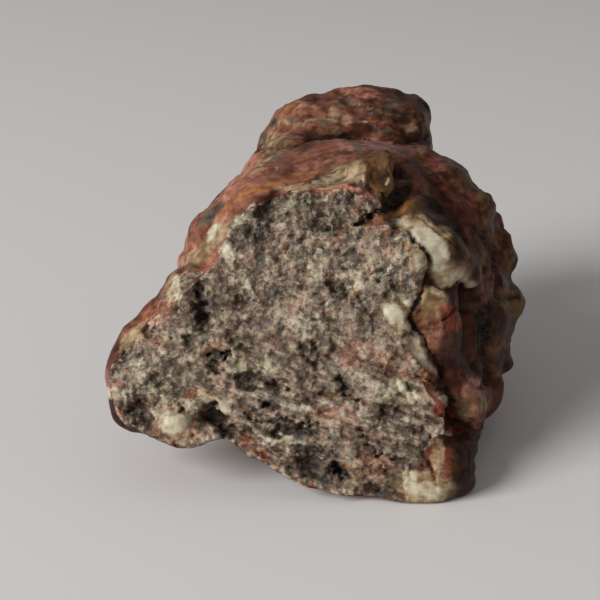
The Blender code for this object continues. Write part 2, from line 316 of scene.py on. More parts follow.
CRACKS = {
    "right boundary": (
        0.34, 1.3, (18.6, 11.4), (19.5, 10), (20.4, 8.4), (21.8, 6.2), (21.2, 3.3), (20.3, 2.2), (20, 0.2),
        (19, -1.9), (18.9, -4.5), (20.2, -6.6), (22.2, -9.9), (23.8, -12.4),
    ),
    "under the ridge": (0.2, 0.7, (13.6, -11.4), (16.4, -11.2), (17.8, -12.3), (20.6, -13.2), (23.4, -14.2)),
    "corner": (0.26, 0.9, (19.8, -21), (21.4, -22.8), (20.6, -25.7), (21.6, -28.1), (22.8, -31)),
    "lobe": (0.22, 0.7, (19.4, -5), (21.9, -4), (24.2, -3), (26, -1.6)),
    "lobe fork": (0.14, 0.5, (20.4, -4.8), (22, -5.2), (23.4, -4.4)),
    "lobe top": (0.26, 0.8, (20.7, 2.8), (22.8, 2.7), (24.8, 2), (27.2, 2.8)),
    "shoulder": (0.14, 0.4, (19.6, 13.6), (22, 12.4), (24.4, 10.6), (26.4, 8.4), (28, 6.5)),
    "low slant": (0.3, 1.2, (7, -12.6), (6.6, -14.4), (8, -15.6), (9.3, -16.6)),
    "plate slant": (0.3, 1.2, (10.2, -21.8), (11.4, -24.2), (13.4, -26)),
    "middle step": (0.22, 0.6, (9, 1), (11.4, -1.4), (12.4, -4.4)),
    "lower step": (0.3, 1, (-9, -19.4), (-5.6, -20.6), (-1.6, -20.2), (2, -21)),
    "corner fork": (0.16, 0.4, (18.2, -29.4), (19.8, -30.4), (21, -30), (22.6, -31.6)),
    "corner slant": (0.28, 0.7, (14.2, -25.4), (16.4, -27), (18.2, -27.9)),
    "rose edge": (0.36, 1, (24.6, -14.4), (25.2, -17.2), (24.2, -19.6), (26, -20.8), (30.6, -22.2)),
    "pocket top": (0.22, 0.7, (20.6, -14.2), (22.6, -14.8), (24.2, -14.2)),
    "ledge": (0.18, 0.7, (11.2, 19), (12.6, 18.1), (13.8, 17.8), (14.1, 15.6)),
    "ledge seam": (0.1, 0.3, (11.7, 22.8), (11.2, 21.2), (11.5, 19.2)),
    "ledge rib": (0.1, 0.25, (14.6, 23), (14.2, 21.6), (15, 20.6)),
    "ledge back": (0.5, 1.4, (15.2, 23.8), (16.4, 22.8), (17.6, 21.8), (18.8, 20.4)),
    "cleft": (0.3, 1.2, (8.2, 12.2), (10, 12.9), (12.2, 14), (13.6, 15)),
    "knob brow": (0.5, 0.6, (2.4, 33.6), (7.2, 34.4), (8.6, 32.8), (12.6, 32.4), (16.6, 32), (19, 30.4)),
    "knob cheek": (0.45, 0.5, (-6.2, 28.6), (-2.4, 28.8), (1.6, 28), (5.4, 28.2), (9.2, 26.9)),
    "knob slant": (0.4, 0.45, (4.2, 33), (5.4, 31), (7.6, 29.6), (8.2, 27.6)),
    "knob fold": (0.35, 0.4, (10.4, 31), (13.2, 30.4), (16.2, 28.8), (19.2, 27.8)),
    "mass upper": (0.5, 0.9, (29.5, 12.5), (32, 8.5), (33.2, 4), (33, -0.5)),
    "mass lower": (0.6, 1.1, (29.4, -1), (31, -4), (30.4, -8), (31.5, -11), (30.8, -14.5)),
    "knob foot": (0.35, 0.8, (-7, 25.4), (-1, 26.3), (6.2, 27.3), (16.3, 26.2), (22, 26.6)),
    "vein net": (0.16, 0.3, (-6.8, 22.4), (-4.2, 23.9), (-1.6, 25.6)),
    "plate low": (0.2, 0.8, (10.6, -24), (12.2, -25.4), (13, -27.2), (14.4, -28.8)),
    "mass cross": (0.5, 0.9, (26.8, -1.6), (29.6, -2.6), (33.4, 0.8), (36, 0.4)),
}

hollow = np.zeros(point_count)
hollow_depth = np.zeros(point_count)
for *oval, depth in HOLES.values():
    dip = patch(*oval)
    hollow = strongest(hollow, dip)
    hollow_depth = strongest(hollow_depth, dip * depth)
hollow *= broken
hollow_depth *= broken

crack = np.zeros(point_count)
crack_depth = np.zeros(point_count)
for width, depth, *route in CRACKS.values():
    groove = ramp(1.6 * width, 0.3 * width, distance_to(route)) * seen
    crack = strongest(crack, groove * min(1.0, depth))
    crack_depth = strongest(crack_depth, groove * depth)

# Lumps and dips that finish the large forms: across, up, half length, half width, tilt and height.

SWELLS = {
    "waist": (-19.6, 5.4, 3, 1.7, 50, 0.9),
    "left shoulder": (-26.2, -0.4, 4, 2, 48, -0.9),
    "east horn": (35, 12.8, 1.5, 1.7, 0, -1.4),
    "east shoulder": (31.2, 15.6, 2.2, 1.2, -50, 0.7),
    "east brow": (33.4, 17.6, 2.2, 2, -50, -1.5),
    "ledge crown": (9, 22.2, 2.6, 0.8, 12, 0.8),
    "ledge hollow": (12.8, 20.8, 1, 1.6, -5, -0.9),
    "ledge corner": (14.5, 23.2, 0.9, 0.8, 0, 0.8),
    "mass low side": (35.6, -8, 1.6, 2.4, 10, -1.3),
    "left rim bulge": (-17.4, 11.6, 1.6, 3, -35, 0.8),
    "ledge east": (17, 20.8, 2.8, 1.3, -70, -1.6),
    "ledge flank": (15.6, 17, 1.7, 0.9, 55, -1.2),
    "corner waist": (29.2, -23.2, 1.6, 2, 0, 0.9),
    "corner side": (30.2, -28.2, 1.4, 2.6, 0, -0.9),
    "shoulder brow": (19.2, 15.8, 2.6, 1, 24, 1.1),
    "mass upper lump": (25.6, 21.4, 2.6, 1.8, -40, 0.7),
    "mass middle lump": (29.8, 15.4, 2.2, 2.6, -20, 0.6),
    "mass lower lump": (28.6, 4.6, 1.4, 3.4, 0, 0.5),
    "knob brow": (7.6, 35.6, 4.6, 1.4, -4, 0.6),
    "knob cheek": (-1.6, 31.2, 3.4, 1.8, 15, 0.5),
    "knob corner": (19.6, 31, 1.6, 2, 0, 0.6),
    "knob dimple": (4, 30, 1.6, 1.3, 0, -0.6),
}
CRESTS = {
    "ledge": (0.5, 0.25, (6.5, 21.2), (10.8, 23), (14, 23.9), (15.3, 21.4), (15, 18.6), (14, 15.8)),
    "ridge": (0.7, 0.5, (12.9, 14), (16.8, 15.8), (20.2, 17), (22.8, 15.8), (25.6, 12.6)),
    "lobe": (0.5, 0.4, (23.2, -1.2), (24, -4.6), (23, -8.4), (24.4, -11)),
    "knob": (0.7, 0.5, (9, 33.6), (13, 31.8), (17.2, 31.2), (20.2, 28.4)),
    "band": (0.6, 0.4, (1.2, 25.8), (4.6, 26.2), (9.6, 25.6), (14.6, 24.8)),
    "mass": (0.7, 0.5, (29.6, 12), (30, 7.4), (29.6, 2.2)),
}

nearside = ramp(-0.95, -0.6, facing)
swell = np.zeros(point_count)
for *oval, rise in SWELLS.values():
    swell += rise * patch(*oval) * nearside
for width, rise, *route in CRESTS.values():
    swell += rise * ramp(1.8 * width, 0.0, distance_to(route)) * seen

# Relief of the break: crumbs, grains between them, and below the middle thin beds that dip to the right.

BED_DIP = math.radians(20.0)


def streaks(length, breadth, dip, seed):
    """Noise drawn out along lines that dip to the right, from -1 to 1."""
    along = (sight_across * math.cos(dip) - sight_up * math.sin(dip)) / length
    over = (sight_across * math.sin(dip) + sight_up * math.cos(dip)) / breadth
    shift = elsewhere(seed)
    return np.array([noise.noise(Vector((*spot, 0.0)) + shift) for spot in zip(along, over)])


bedded = ramp(6.0, -12.0, sight_up + 0.25 * sight_across) * ramp(-24.0, -12.0, sight_across)
beds = streaks(5.0, 1.05, BED_DIP, 28)
small_cells = crumbs(0.95, 5)
break_rise = (0.7 * clouds(4.6, 26) + 0.5 * clouds(2.1, 6) + 0.36 * clouds(1.1, 7) + 0.18 * jitter[1]
              + 0.28 * ramp(0.0, 0.4, small_cells) - 0.22 + 0.65 * beds * bedded)
pits = ramp(0.25, 0.5, clouds(1.3, 8)) * ramp(-0.15, 0.4, clouds(5.0, 9))
break_rise -= 0.5 * pits
break_rise -= hollow_depth

# Relief of the skin: round beads and worn wrinkles, deepest on the knob and the dark mass behind.

wrinkles = np.maximum(1.0 - np.abs(clouds(2.6, 10)) * 2.0, 0.0)
beads = ramp(0.05, 0.8, crumbs(5.4, 11))
roughened = ramp(3.0, 12.0, place[:, 1]) * (1.0 - 0.6 * seen * patch(5.0, 22.8, 15.0, 3.6, 8))
roughened *= 1.0 - 0.8 * patch(28.0, -27.0, 4.0, 6.5)
skin_rise = 0.10 * clouds(1.3, 12) + roughened * (0.32 * beads - 0.18 - 0.14 * wrinkles ** 4)
skin_pits = ramp(0.3, 0.55, clouds(1.7, 13)) * ramp(0.0, 0.4, clouds(7.0, 14))
skin_rise -= 0.4 * skin_pits * roughened
skin_rise -= crack_depth
skin_rise += knotted * 0.7
swell_push = outward * swell[:, None]

# The break rises straight out and the skin square to itself, and the flat that it rests on stays flat.

above_rest = ramp(0.15, 1.6, height)
break_push = np.array((0.0, -1.0, 0.0)) * (broken * break_rise)[:, None]
skin_push = outward * ((1.0 - broken) * skin_rise)[:, None]
crack_push = outward * (-broken * 0.7 * crack_depth)[:, None]
push = break_push + skin_push + crack_push + swell_push
push[:, 1] -= filling
push *= above_rest[:, None] * MM
points = points + push @ turn

# The shoaled hollow is eased into the skin round it.

EASING_PASSES = 24
edge_ends = np.empty(len(stone.data.edges) * 2, dtype=np.int32)
stone.data.edges.foreach_get("vertices", edge_ends)
edge_ends = edge_ends.reshape(-1, 2)
near, far = np.concatenate((edge_ends, edge_ends[:, ::-1])).T
neighbours = np.bincount(near, minlength=point_count)
easing = patch(17.6, 18.4, 3.2, 3.2) * ramp(6.0, 8.0, place[:, 1]) * ramp(22.0, 18.0, place[:, 1])
for _ in range(EASING_PASSES):
    middles = np.stack([np.bincount(near, points[far, axis], point_count) for axis in range(3)], axis=1)
    points += easing[:, None] * (middles / neighbours[:, None] - points)
stone.data.vertices.foreach_set("co", points.reshape(-1))
stone.data.update()
stone.data.shade_smooth()

# Where each mineral lies: across, up, half length, half width, tilt and strength of each mark. The shade and
# hollow-shade tables and part of the umber are painted shade rather than minerals.

CREAM_MARKS = {
    "shoulder": (22, 9.2, 3.5, 1.9, -50),
    "shoulder head": (19.9, 10.8, 1.7, 1.2, -30),
    "shoulder top": (16.6, 13, 2.2, 0.7, -16, 0.6),
    "shoulder foot": (23, 5.7, 1.4, 1.2, 0, 0.66),
    "apron": (25.2, 4.2, 2.2, 0.9, -15, 0.55),
    "apron spark": (28.2, 3, 1, 0.8, 0, 0.75),
    "rim knot": (19.7, 6.4, 0.8, 2, 10, 0.6),
    "nugget": (15.6, -2.5, 1.9, 1.7, -40),
    "nugget foot": (17.2, -4.6, 1.2, 1.1, 0, 0.45),
    "nugget top": (16.6, 0.6, 1.8, 1, 0, 0.55),
    # The ridge's cream is laid on lighter than its own tone: partly painted light, as the ridge turns from the
    # lamp.
    "ridge": (19.6, -9, 3.8, 1.5, -52, 0.6),
    "left band": (-24.8, -4.4, 5.2, 0.8, 48, 0.42),
    "below ridge": (17, -14.3, 1.3, 0.8, -40, 0.95),
    "below ridge foot": (18.4, -16.2, 1.1, 0.6, -70, 0.95),
    "red edge chip": (23.8, -16.3, 0.9, 0.7, 0, 0.8),
    "low edge chip": (24.4, -22.1, 1.1, 0.5, 0, 0.75),
    "corner": (20.6, -31.6, 4, 1.6, -8, 0.62),
    "corner left": (18.4, -29.8, 1.7, 1.2, -50, 0.66),
    "ledge": (8.8, 20.9, 1.8, 0.7, 14, 0.3),
    "ledge tail": (3.8, 19.7, 2.4, 0.6, 8, 0.42),
    # Two painted highlights: small white glints on the ledge.
    "painted ledge highlight": (10.5, 20.2, 0.3, 1.2, 3, 0.6),
    "painted ledge glint": (14.4, 19.8, 0.3, 0.6, -14, 0.62),
    "lobe top": (22.8, 1.4, 1.4, 0.8, 0, 0.4),
    "lower lobe": (-20.8, -20.6, 3, 2, 0, 0.68),
    "lobe arch": (-15.4, -16.2, 2.4, 0.7, -8, 0.6),
    "lobe arch end": (-12.3, -17.6, 1.9, 1.1, -52, 0.9),
    "left chip": (-20, 2.8, 1, 0.9, 30, 0.85),
    "left chip foot": (-20.4, 1.4, 0.7, 1.2, 0, 0.8),
    "rim chip": (-12, 7.6, 1.3, 2.2, 15, 0.9),
    "rim chip top": (-14.6, 11, 1.9, 0.7, 50, 0.8),
    "tooth": (-8.3, 14.7, 0.8, 1.6, -18, 0.9),
    "tooth root": (-9.9, 13.6, 1.1, 0.7, 0, 0.6),
    "face west": (-8.4, 1.8, 1.2, 1.5, -20, 0.55),
    "face middle": (3, 5.2, 1.1, 1.9, -35, 0.65),
    "face ring": (9.3, 4.3, 2.3, 1.2, 8, 0.4),
    "face ring foot": (10.2, 2.4, 1.3, 1.2, 0, 0.55),
    "face seam": (0.6, -4.2, 2.8, 0.8, -12, 0.5),
    "face lower left": (-10.3, -11, 1.3, 0.7, -20, 0.6),
    "left lobe": (-23.4, -9.6, 1.6, 0.8, 20, 0.5),
    "left lobe low": (-20.8, -13.4, 1.6, 0.7, -10, 0.5),
    "lower left fleck": (-6.7, -15.8, 1.7, 0.7, -10, 0.65),
    "low right fleck": (14.8, -21.4, 1.5, 0.6, -10, 0.5),
    "far left chip": (-31, -15.4, 1.3, 1.1, 0, 0.8),
    "far left arc": (-28, -10.9, 2.4, 0.5, 8, 0.6),
    "left fleck": (-26, -8, 1.7, 0.9, 10, 0.5),
    "bottom chip": (8, -31.6, 1, 0.7, 0, 0.7),
}
CREAM_LINES = {
    "lower ridge": (0.42, (-8.4, -20.6), (-7.4, -22), (-5, -24), (-2.7, -23.4), (1, -23.2), (2.6, -24.4)),
    "lower edge": (0.35, (-3.4, -28.4), (-1, -30.2), (1, -31.2)),
}
TAN_LINES = {
    "shoulder brow": (0.4, (13.8, 13.4), (16.2, 15), (18.4, 16.4), (20.2, 17), (21.6, 16.8)),
    "vein rise": (0.26, (-8.6, 20.8), (-6.2, 23.2), (-4, 24.4), (-1.2, 26.2)),
    "vein cross": (0.22, (-7, 26.4), (-4.8, 24.2), (-3.9, 21.8)),
    "vein low": (0.22, (-9.6, 23.4), (-7, 24.6), (-4.6, 26.6), (-2.2, 27.2)),
    "knob seam": (0.24, (-3.6, 29.8), (0.4, 29.4), (3.4, 30.6), (8.2, 29.4), (11.6, 29.8)),
    "knob brow": (0.24, (6.2, 33.4), (10.4, 32.6), (14.6, 31.2), (18.6, 30.6)),
}
# Shade on the break: darker stretches of it, and painted shade over its holes, which the holes also add to
# this layer.
SHADE_MARKS = {
    "upper face": (-1, 15.2, 11, 3.4, -6, 0.8),
    "upper west": (-8.3, 10.6, 4.2, 2.4),
    "west face": (-7, 7, 5, 3, 0, 0.4),
    "under cleft": (4.4, 12.2, 3.6, 1.8, 0, 0.8),
    "slot country": (-16.6, -1.8, 2.6, 6, 8, 0.9),
    "slot foot": (-17.9, -6.8, 1.9, 2.2, 0, 0.9),
    "twins country": (-14.6, -11.2, 2.6, 1.2, 0, 0.6),
    "left nick": (-25.3, -5.3, 1.9, 0.9, 0, 0.9),
    "far left nick": (-30, -9.4, 3, 0.8, 5, 0.8),
    "left dimple": (-24.7, -13.8, 1.8, 1.6, 0, 0.55),
    "left low": (-20.5, -12, 2.4, 1.4, 0, 0.25),
    "centre": (3.4, -9.8, 3.6, 1.6, -38, 0.75),
    "middle": (5.4, 1.8, 3.6, 2, -15, 0.9),
    "middle west": (-8.6, -0.2, 2.6, 1.8, 0, 0.7),
    "low left": (-7.2, -13.6, 5.4, 1.9, -8, 0.9),
    "eye country": (-4.5, -18, 5, 2.4, 0, 0.7),
    "low slant": (7.2, -14.2, 1.6, 3, 30, 0.5),
    "low right": (15.4, -18.6, 3.2, 1.5, -20, 0.7),
    "furrow country": (-1, -22, 5.4, 1.4, 6, 0.9),
    "bottom": (2.2, -26.6, 5.4, 3, -12),
    "bottom east": (12.2, -24.6, 4, 0.7, -26, 0.55),
    "bottom beds": (12.5, -31.6, 4.6, 1, -8, 0.8),
    "east face": (14.4, 3.6, 2.2, 3.6, 0, 0.6),
    "east foot": (15.2, 0.2, 2, 1.4, 0, 0.6),
    "ring": (-29.2, -11.8, 1.5, 1.7, 0, 0.9),
    "grey dish": (-27, -13, 2.6, 1.4, 10, 0.5),
    "lobe hollow": (-14, -19.6, 2.8, 2, -35),
    "lobe left": (-26.8, -18.6, 3, 1.8, -10),
    "corner crack": (20.2, -26.4, 1, 3.4, 0, 0.9),
}
# Painted shade: dark marks in the holes, cracks and pits of the stone and in the hollow behind the ledge.
HOLLOW_SHADE_MARKS = {
    "cavity": (16, 17, 2.8, 0.9, 40, 0.85),
    "cavity foot": (14.2, 15.4, 2.2, 0.6, 52, 0.8),
    "cleft": (10.4, 13.2, 2.8, 0.45, 24),
    "ledge crack": (16.8, 22.4, 1.8, 0.5, -42),
    "rose pit": (26.2, -20.3, 0.9, 0.9),
    "rose groove": (23, -14.3, 1.7, 0.5, -15, 0.8),
    "side top": (27.6, -22.4, 3.4, 0.6, 0, 0.9),
    "mass hollow": (30.6, -5.5, 1.5, 2, 0, 0.95),
    "mass hollow top": (31.6, -2.6, 1.2, 0.9, 0, 0.8),
    "mass slit": (33, -0.8, 1, 0.6, 0, 0.7),
    "mass east": (35.4, 3.4, 0.7, 1.1, 0, 0.8),
    "slot": (-17, 0, 0.8, 3.2, 8, 0.7),
    "left twin": (-15.2, -9, 0.45, 0.5),
    "right twin": (-12.4, -9.4, 0.5, 0.65),
    "lobe floor": (-27.5, -21.6, 1.1, 0.8, 0, 0.6),
    "corner crack": (20, -26, 0.4, 2.6, 0, 0.8),
    "edge pit": (-5.6, 25.8, 0.9, 0.6, 0, 0.3),
}
SCARLET_MARKS = {
    "far left": (-29.2, -11.8, 0.7, 0.7, 0, 0.9),
    "left foot": (-30.3, -18.6, 1, 0.7, 0, 0.65),
    "left edge": (-32, -13.2, 0.6, 0.8, 0, 0.5),
    "lobe spot": (25.8, -3.4, 1, 1.7, 10, 0.95),
    "lobe spot top": (24.6, -1.6, 0.9, 1.6, 0, 0.6),
    "lobe streak": (22.4, -0.4, 0.5, 2, 10, 0.4),
    "crack": (15.2, -12.2, 1.8, 0.5, -12, 0.6),
    "rose pocket": (23.6, -18.6, 1.2, 1.3, 0, 0.8),
    "rose pocket foot": (25, -19.6, 1.2, 0.8, 0, 0.6),
    "rose rim": (28.2, -21.4, 2.4, 0.5, 10, 0.6),
    "rose rim west": (25, -21.6, 1.6, 0.5, 0, 0.45),
    "mass light": (21.8, 23.4, 1.7, 1.6, 0, 0.4),
    "mass streak": (24.6, 18.4, 1, 2.8, 35, 0.4),
    "mass spot": (28.4, 16, 1.2, 0.8, -40, 0.4),
    "corner side": (25, -27, 0.7, 2.6, 0, 0.3),
    "lower edge one": (-9, -23.1, 0.9, 1.2, -40, 0.6),
    "lower edge two": (-5.7, -25.5, 1, 0.9, 0, 0.65),
    "lower edge three": (-4, -28.3, 0.8, 0.7, 0, 0.6),
    "lower edge four": (1.8, -31.1, 1.2, 0.7, 0, 0.65),
    "face spot": (0, -7.4, 0.6, 0.8, 0, 0.5),
    "band": (5.2, 25.6, 2.4, 0.7, 12, 0.45),
    "rim": (-15.8, 5.6, 1.9, 1.1, 30, 0.3),
    "lobe underside": (-21.4, -24.5, 2.8, 0.6, -8, 0.5),
}
SALMON_MARKS = {
    "west band": (-11, 19.8, 2.3, 3.4, 38, 0.95),
    "west band top": (-8.6, 22.4, 2.3, 2.2, 0, 0.85),
    "west band foot": (-13, 16.4, 1.3, 2.4, -30, 0.75),
    "face top": (-8.2, 18.2, 1.7, 1.2, 30, 0.7),
    "west rim": (-13.6, 14, 1.8, 1.4, 40, 0.8),
    "knob west": (-3.6, 30.4, 2.2, 1.3, 20, 0.4),
    "knob mid": (1.2, 31.8, 2.4, 1.2, -10, 0.6),
    "knob east": (6.4, 31.2, 2.6, 0.8, -12, 0.5),
    "knob foot": (-4.2, 27.4, 2, 0.9, 15, 0.5),
    "knob crown": (9.6, 34.6, 4, 0.9, -5, 0.55),
    "knob low": (2.2, 28.6, 2.4, 0.8, -20, 0.45),
    "left rim": (-18.9, 6.3, 1.9, 1.4, 45, 0.75),
    "left rim top": (-18.2, 8.6, 1.2, 1.7, 30, 0.7),
    "top edge": (-1.3, 18.3, 2.8, 0.8, 10, 0.6),
    "top edge east": (5.8, 18.5, 5, 0.7, 0, 0.65),
    "top edge end": (10.3, 17.4, 1.7, 0.9, 0, 0.55),
    "below cleft": (13, 12.6, 3.2, 0.8, 10, 0.45),
    "left rim knot": (-16.2, 6.6, 2.2, 1.9, 20, 0.8),
    "left chip": (-24.8, -7.2, 1.8, 1, 0, 0.55),
    "left band": (-24.4, -3.2, 6, 1.2, 48, 0.75),
    "far left chip": (-31.2, -14.6, 1, 1, 0, 0.6),
    "low lobe rim": (-27.8, -17, 2, 0.8, 0, 0.4),
    "lower lobe": (-20.4, -21.2, 3.6, 2.2, 0, 0.7),
    # The ridge's salmon is laid on strong to lighten it: partly painted light, as the ridge turns from the
    # lamp.
    "ridge": (20, -9.6, 3.8, 1.7, -52, 0.8),
    "face east": (9.6, -9, 3.8, 2.8, 0, 0.5),
    "face south east": (14.2, -9.8, 2.4, 1.6, 0, 0.5),
    "face south": (5.4, -19.4, 4.2, 1.8, -14, 0.5),
    "face south low": (10.6, -21.6, 4, 1, -24, 0.45),
    "face west foot": (-2.4, -6.6, 2.6, 1, 0, 0.35),
    "bottom plate": (12.4, -28.4, 3.4, 1.4, -30, 0.45),
    "ledge fall": (13, 14.6, 1.2, 1.3, 0, 0.5),
    # The rose lobe's salmon is laid on brighter than its own pink: partly painted light on a face that turns
    # from the lamp.
    "rose lobe": (29.2, -14.8, 2.4, 2, 20, 0.85),
    "rose lobe foot": (27.8, -18.4, 1.8, 1.8, 0, 0.75),
    "pocket": (22.6, -17, 1.3, 3.2, 0, 0.5),
    "plate": (12.6, -27.4, 4.2, 2.2, -14, 0.5),
}
ORANGE_MARKS = {
    "left band": (-25.4, -1.6, 2.2, 0.8, 48, 0.5),
    "upper left edge": (-19, 9.6, 1.2, 2.1, 30, 0.7),
    "lobe arch": (-14.5, -16.3, 3.4, 0.5, -8, 0.8),
    "lobe arch end": (-12.6, -16.8, 1.3, 0.7, -30, 0.7),
    "lower lobe": (-17.8, -20.8, 0.8, 1.6, 0, 0.55),
    "twins": (-15.6, -8.2, 0.8, 1, 0, 0.7),
    "amber foot": (14.2, 14, 2.3, 0.5, 18, 0.6),
    "amber fan": (17.4, 15.2, 2.8, 0.6, 30, 0.75),
    "rim vein": (18.7, 8.8, 1.5, 0.7, -45, 0.7),
    "rim vein foot": (19.7, 6.6, 0.6, 1.3, 0, 0.5),
    "shoulder stain": (20.8, 8, 0.8, 1.8, 30, 0.6),
    "shoulder stain foot": (21.6, 5.2, 0.9, 1, 0, 0.5),
    "apron": (24.4, 5.6, 2.2, 0.8, -15, 0.42),
    "mottle": (25.2, 9, 0.7, 1.6, 20, 0.4),
    "tan lobe": (23.3, -1.4, 0.9, 1.3, 0, 0.5),
    "corner": (21.8, -29.6, 0.8, 0.8, 0, 0.6),
    "ridge stain": (18.6, -9, 2, 0.4, -52, 0.45),
    "ridge stain middle": (20.2, -10, 3, 1, -52, 0.45),
    "ridge stain foot": (20.9, -12.4, 1, 0.5, -30, 0.55),
    "knob": (12.6, 30, 2.4, 0.6, -22, 0.4),
    "knob foot": (14.7, 28.6, 2, 0.5, -18, 0.35),
    "knob spark": (-1.6, 31.4, 1, 0.7, 0, 0.8),
    "slot": (-13.4, -7.6, 1.6, 0.6, -20, 0.6),
}
ORANGE_LINES = {
    "streak": (0.85, (-14, 14.8), (-11.2, 16.5), (-8, 18.3), (-3.6, 19.5), (2, 21)),
    "rim": (0.3, (16.5, -12.8), (19, -12.8), (22, -14)),
    "lobe arch": (0.45, (-18.4, -15.9), (-15.8, -15.4), (-13, -17), (-11.4, -19.4)),
}
OLIVE_MARKS = {
    "left lobe": (-22, -12, 8, 4, -5, 0.62),
    "left lobe low": (-21, -15.6, 5, 1.8, -8, 0.7),
    "west": (-11.8, 7.4, 1.4, 2.8, 15, 0.8),
    "upper face": (0, 14.4, 9, 3, -5, 0.6),
    "upper middle": (2, 7.6, 7, 2.4, -5, 0.5),
    "seam": (1, -4, 6, 2, -10, 0.6),
    "south west": (-6, -10.4, 4.6, 1.6, -8, 0.6),
    "east": (12.4, 5, 3, 4, 0, 0.5),
    "low left": (-5.4, -16, 4.4, 1.2, -8, 0.55),
    "left edge": (-20.6, 1.8, 2.4, 2.4, 0, 0.5),
    "corner strip": (22.8, -25.8, 1.2, 3.2, 0, 0.6),
    "corner": (21, -31.6, 3.4, 1, -8, 0.45),
    "pocket": (23.4, -16.4, 1.2, 1.6, 0, 0.6),
}
TAN_MARKS = {
    "shoulder": (22.4, 9, 6, 3.4, -52),
    "shoulder top": (17.5, 12.8, 4.2, 1.2, -15),
    # Painted reflection: a pale glint on the dark window.
    "painted window glint": (21, 15, 1.2, 0.5, -25, 0.55),
    "shoulder foot": (24.6, 4.6, 4, 2, -15, 0.9),
    "tan lobe": (22.2, 0, 2.6, 2.6, 0, 0.75),
    "nugget": (16.2, -2.6, 2.2, 3),
    "ridge": (19.9, -9.3, 4.6, 2.3, -52, 0.5),
    "below ridge": (17.6, -15.2, 3, 1.2, -55, 0.9),
    "rim knot": (19.4, 6.6, 1.6, 2.6, 0, 0.9),
    "corner": (20.6, -31.4, 5.6, 3, -8),
    "corner side": (22.8, -26.4, 1.2, 4.6, -4, 0.56),
    "pocket edge": (23.9, -17.2, 0.8, 2.6, 5, 0.55),
    "plate": (12.4, -28.2, 4.4, 2.2, -14, 0.5),
    "rose lobe": (27.4, -18, 1.4, 2.2, 15, 0.7),
    "rose lobe top": (30.4, -17.2, 0.8, 1.8, 0, 0.5),
    "ledge": (7.6, 20.9, 4.6, 1.7, 15, 0.72),
    "ledge crest": (12.8, 23.2, 1.8, 0.5, 8, 0.6),
    "ledge rim": (15.3, 19.6, 0.3, 1.6, 0, 0.55),
    "left rim": (-15.4, 8.8, 5.6, 1.2, 50, 0.8),
    "left rim foot": (-20.6, 1.8, 2, 2.4, 0, 0.7),
    "left band": (-27.6, -6.2, 3.4, 1.6, 46, 0.75),
    "lower lobe": (-20.6, -21.2, 4.6, 3, 0, 0.6),
    "face top": (-1, 18.8, 5.6, 0.6, 5, 0.6),
    "knob mid": (6.4, 31, 2.4, 1.2, -20, 0.5),
    "knob east edge": (21.2, 29.4, 0.6, 3, 15, 0.6),
    "knob east streak": (14.6, 31.4, 3.6, 0.5, -20, 0.4),
    "knob east low": (18.6, 28.6, 1.8, 0.6, -10, 0.5),
    "knob west end": (-5.4, 28.6, 1.6, 1.2, 30, 0.5),
    "knob foot": (-3.8, 26.6, 3, 1.1, 12, 0.55),
    "knob low": (5.6, 28.4, 2.2, 1, -10, 0.45),
    "vein country": (-4.6, 24.4, 1.8, 1.2, 30, 0.45),
    "mass west": (20.6, 25.4, 2.6, 0.9, -10, 0.3),
}
AMBER_MARKS = {
    "ledge lump": (13.6, 22, 2.4, 2.4, -20),
    "ledge drop": (14, 19.4, 2, 2.6),
    "ledge inner": (11.8, 20.2, 1.2, 1.6, 0, 0.8),
    "ledge foot": (14, 17.2, 1.2, 1.3, 0, 0.8),
    "ridge": (16.6, 14.8, 3.6, 0.9, 25),
    "ridge top": (19.8, 15.9, 2.4, 1, 20, 0.9),
    "east bulge": (33, 11.6, 1.2, 2, -20, 0.9),
    "east bulge mid": (35, 7.2, 1.2, 2.4, -15, 0.9),
    "east bulge low": (34.6, 0.3, 2.6, 1.8, 0, 0.9),
    "east edge": (36.5, -1.4, 1.4, 3, 0, 0.8),
    "east foot": (35.4, -6.6, 1.2, 2.4, 20, 0.7),
    "hollow bead": (32.7, -5.5, 1, 1.3, 0, 0.95),
    "hollow bead foot": (33, -8.2, 1.5, 1.3, 0, 0.7),
    "upper mass": (27.8, 20.4, 2.3, 1.3, -50, 0.8),
    "upper mass east": (30.4, 17, 1.2, 2.2, -35, 0.7),
    "middle mass": (30.6, 7, 1.4, 3.4, 0, 0.6),
    "inner mass": (29.2, -2, 1.6, 1.4, 0, 0.6),
    "lower mass": (31.8, -11.8, 2.2, 1.5, 0, 0.8),
    "rose lobe": (29.4, -16.4, 1.6, 1.2, 0, 0.5),
    "knob east": (20.4, 30.6, 1.6, 1.5, 0, 0.5),
    "knob south east": (20.8, 28.7, 1.2, 1.6, 0, 0.75),
    "knob mid": (3.8, 28.4, 2.3, 1.4, 0, 0.5),
    "knob south": (-2.8, 26.2, 2.4, 0.9, 12, 0.6),
    "knob crown": (18.4, 34.6, 2.1, 0.9, 0, 0.5),
    "apron": (27.4, 8.8, 1.3, 1.9, -20, 0.3),
    "tan lobe": (22, -0.8, 2, 2, 0, 0.55),
    "tan lobe foot": (20.6, -2.9, 1.7, 1.4, 0, 0.5),
    "red edge": (23.6, -15.7, 1.2, 0.9, 0, 0.6),
    "rim": (-18.4, 10.4, 1.2, 1.8, 35, 0.4),
}
